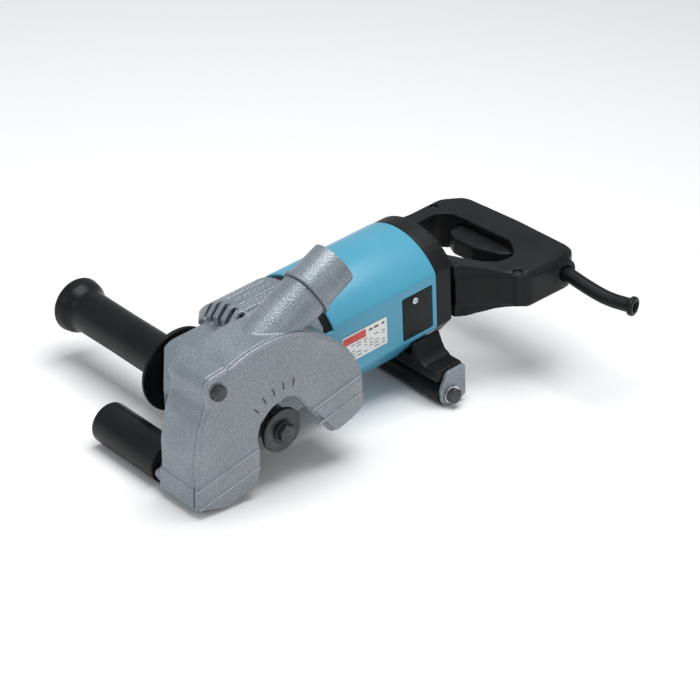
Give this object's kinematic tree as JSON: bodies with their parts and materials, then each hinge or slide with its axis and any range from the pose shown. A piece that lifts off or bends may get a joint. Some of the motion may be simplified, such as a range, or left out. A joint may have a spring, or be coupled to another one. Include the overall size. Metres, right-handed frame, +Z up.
{
  "type": "wall chaser",
  "caption": "Electric twin-wheel wall chaser with a cast wheel guard, dust nozzle, front and rear rollers, side grip and rear D-handle.",
  "frame": {"origin": "centre of the bounding box on the ground plane, under the two rollers", "axes": "+X forward to the wheel guard, +Y to the operator's left (guard side), +Z up"},
  "size_m": [0.4678, 0.3702, 0.205],
  "materials": {
    "blue_plastic": "moulded turquoise-blue plastic",
    "black_plastic": "fine-textured black moulding",
    "black_rubber": "smooth black rubber",
    "grey_casting": "hammered grey paint on cast metal",
    "grey_face": "smooth grey paint",
    "steel": "machined steel",
    "dark_steel": "blackened steel",
    "copper": "copper",
    "lamination": "stacked electrical steel",
    "carbon": "carbon and phenolic",
    "label_sheet": "printed label without lettering"
  },
  "bodies": {
    "machine_body": {"motor_housing": "blue_plastic", "brush_cover_near": "black_plastic", "brush_cover_far": "black_plastic", "rear_end_cover": "black_plastic", "baffle_ring": "black_plastic", "handle_upper_shell": "black_plastic", "handle_lower_shell": "black_plastic", "rear_bracket": "black_plastic", "side_grip": "black_rubber", "hand_guard_disc": "black_rubber", "cord_guard": "black_rubber", "gear_housing": "grey_casting", "bearing_box": "grey_casting", "rear_plate_near": "grey_casting", "rear_plate_far": "grey_casting", "brush_cover_screw_near": "steel", "brush_cover_screw_far": "steel", "motor_bearing_rear": "steel", "motor_bearing_front": "steel", "spindle_bearing_outer": "steel", "spindle_bearing_inner": "steel", "grip_stud": "steel", "handle_screw_1": "steel", "handle_screw_2": "steel", "cord_clamp": "steel", "rear_roller_washer": "steel", "rear_roller_bolt": "dark_steel", "brush_holder_near": "copper", "brush_holder_far": "copper", "field_coil_upper": "copper", "field_coil_lower": "copper", "field_stator": "lamination", "carbon_brush_near": "carbon", "carbon_brush_far": "carbon", "switch_body": "carbon", "name_plate": "label_sheet"},
    "armature": {"armature_shaft": "steel", "armature_core": "lamination", "commutator": "copper", "cooling_fan": "black_plastic", "bevel_pinion": "dark_steel"},
    "spindle_train": {"spindle": "steel", "bevel_gear": "dark_steel", "inner_flange": "dark_steel", "spacer_ring_1": "steel", "spacer_ring_2": "steel", "spacer_ring_3": "steel", "outer_flange": "dark_steel", "flange_bolt": "dark_steel"},
    "wheel_guard": {"guard_body": "grey_casting", "guard_cover": "grey_face", "guard_bolt": "dark_steel", "dust_nozzle": "grey_casting", "front_axle": "steel", "front_roller_washer": "steel"},
    "front_roller": {"front_roller": "black_rubber"},
    "rear_roller": {"rear_roller": "black_rubber"},
    "trigger": {"trigger": "black_plastic"},
    "lock_button": {"lock_button": "black_plastic"},
    "shaft_lock": {"shaft_lock_button": "black_plastic"}
  },
  "joints": [
    {"name": "armature_spin", "type": "hinge", "parent": "machine_body", "child": "armature", "pos_m": [-0.02174, 0.00789, 0.07862], "axis": [0.9885, 0, -0.1513], "continuous": true},
    {"name": "spindle_spin", "type": "hinge", "parent": "machine_body", "child": "spindle_train", "pos_m": [0.13642, 0.06789, 0.05442], "axis": [0, 1, 0], "continuous": true},
    {"name": "guard_swing", "type": "hinge", "parent": "machine_body", "child": "wheel_guard", "pos_m": [0.13642, 0.06789, 0.05442], "axis": [0, 1, 0], "range_deg": [-20, 10]},
    {"name": "front_roller_spin", "type": "hinge", "parent": "wheel_guard", "child": "front_roller", "pos_m": [0.21202, 0.00789, 0.01958], "axis": [0, 1, 0], "continuous": true},
    {"name": "rear_roller_spin", "type": "hinge", "parent": "machine_body", "child": "rear_roller", "pos_m": [-0.08548, 0.01789, 0.0125], "axis": [0, 1, 0], "continuous": true},
    {"name": "trigger_pull", "type": "hinge", "parent": "machine_body", "child": "trigger", "pos_m": [-0.19325, 0.05439, 0.10486], "axis": [-0.1513, 0, -0.9885], "range_deg": [0, 6], "stiffness_Nm_per_rad": 1.5, "springref_deg": -5.73},
    {"name": "lock_button_press", "type": "slide", "parent": "machine_body", "child": "lock_button", "axis": [0.1513, 0, 0.9885], "range_m": [0, 0.0028], "stiffness_N_per_m": 300, "springref_m": -0.002},
    {"name": "shaft_lock_press", "type": "slide", "parent": "machine_body", "child": "shaft_lock", "axis": [0.1513, 0, 0.9885], "range_m": [0, 0.002], "stiffness_N_per_m": 400, "springref_m": -0.002}
  ],
  "couplings": [
    {"joint": "spindle_spin", "follows": "armature_spin", "ratio": 0.32}
  ]
}
